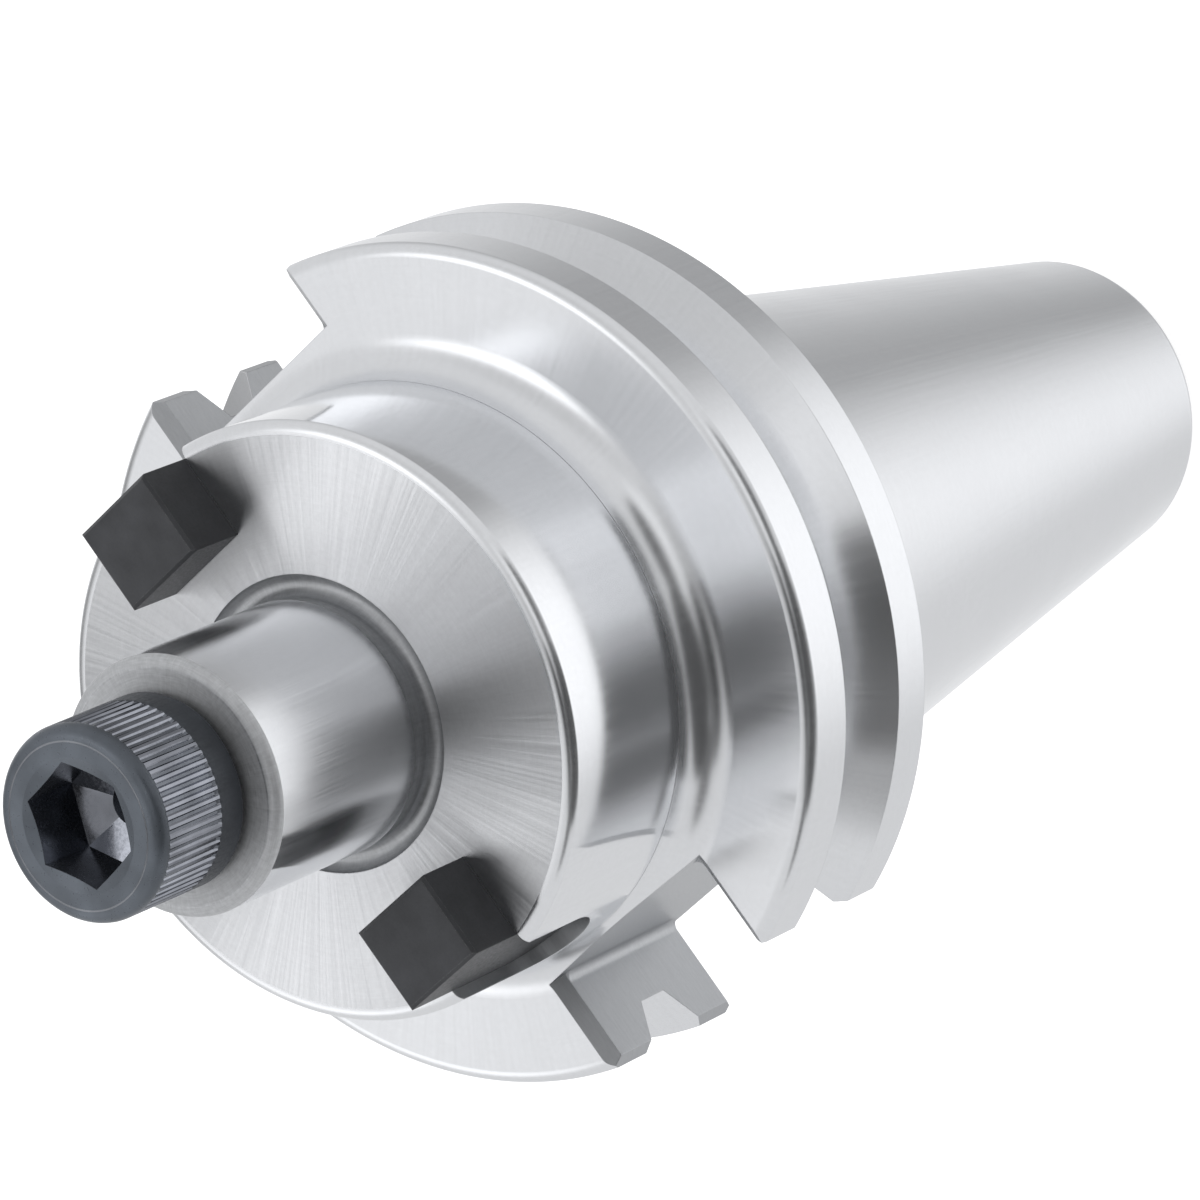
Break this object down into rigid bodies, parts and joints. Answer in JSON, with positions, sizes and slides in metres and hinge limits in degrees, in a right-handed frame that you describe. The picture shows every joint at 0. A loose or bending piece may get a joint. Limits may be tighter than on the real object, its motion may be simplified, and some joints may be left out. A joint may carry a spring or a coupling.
{
  "type": "shell mill arbor",
  "caption": "Shell mill arbor: steep-taper shank with a V-flange, a shoulder with drive keys, a short pilot and a socket-head lock screw with a knurled head.",
  "frame": {"origin": "centre of the taper's gauge circle, on the arbor's axis", "axes": "+Z along the axis towards the nose; the drive keys and the flange's drive slots lie on the X axis, the deeper slot on +X"},
  "size_m": [0.061, 0.0636, 0.1308],
  "materials": {
    "ground_steel": "ground and turned bright steel",
    "black_key_steel": "matte black oxide",
    "black_screw_steel": "satin blue-black oxide"
  },
  "bodies": {
    "arbor": {"arbor_body": "ground_steel", "drive_key_1": "black_key_steel", "drive_key_2": "black_key_steel"},
    "screw": {"lock_screw": "black_screw_steel"}
  },
  "joints": [
    {"name": "lock_screw_travel", "type": "slide", "parent": "arbor", "child": "screw", "axis": [0, 0, 1], "range_m": [-0.0005, 0.025]}
  ]
}
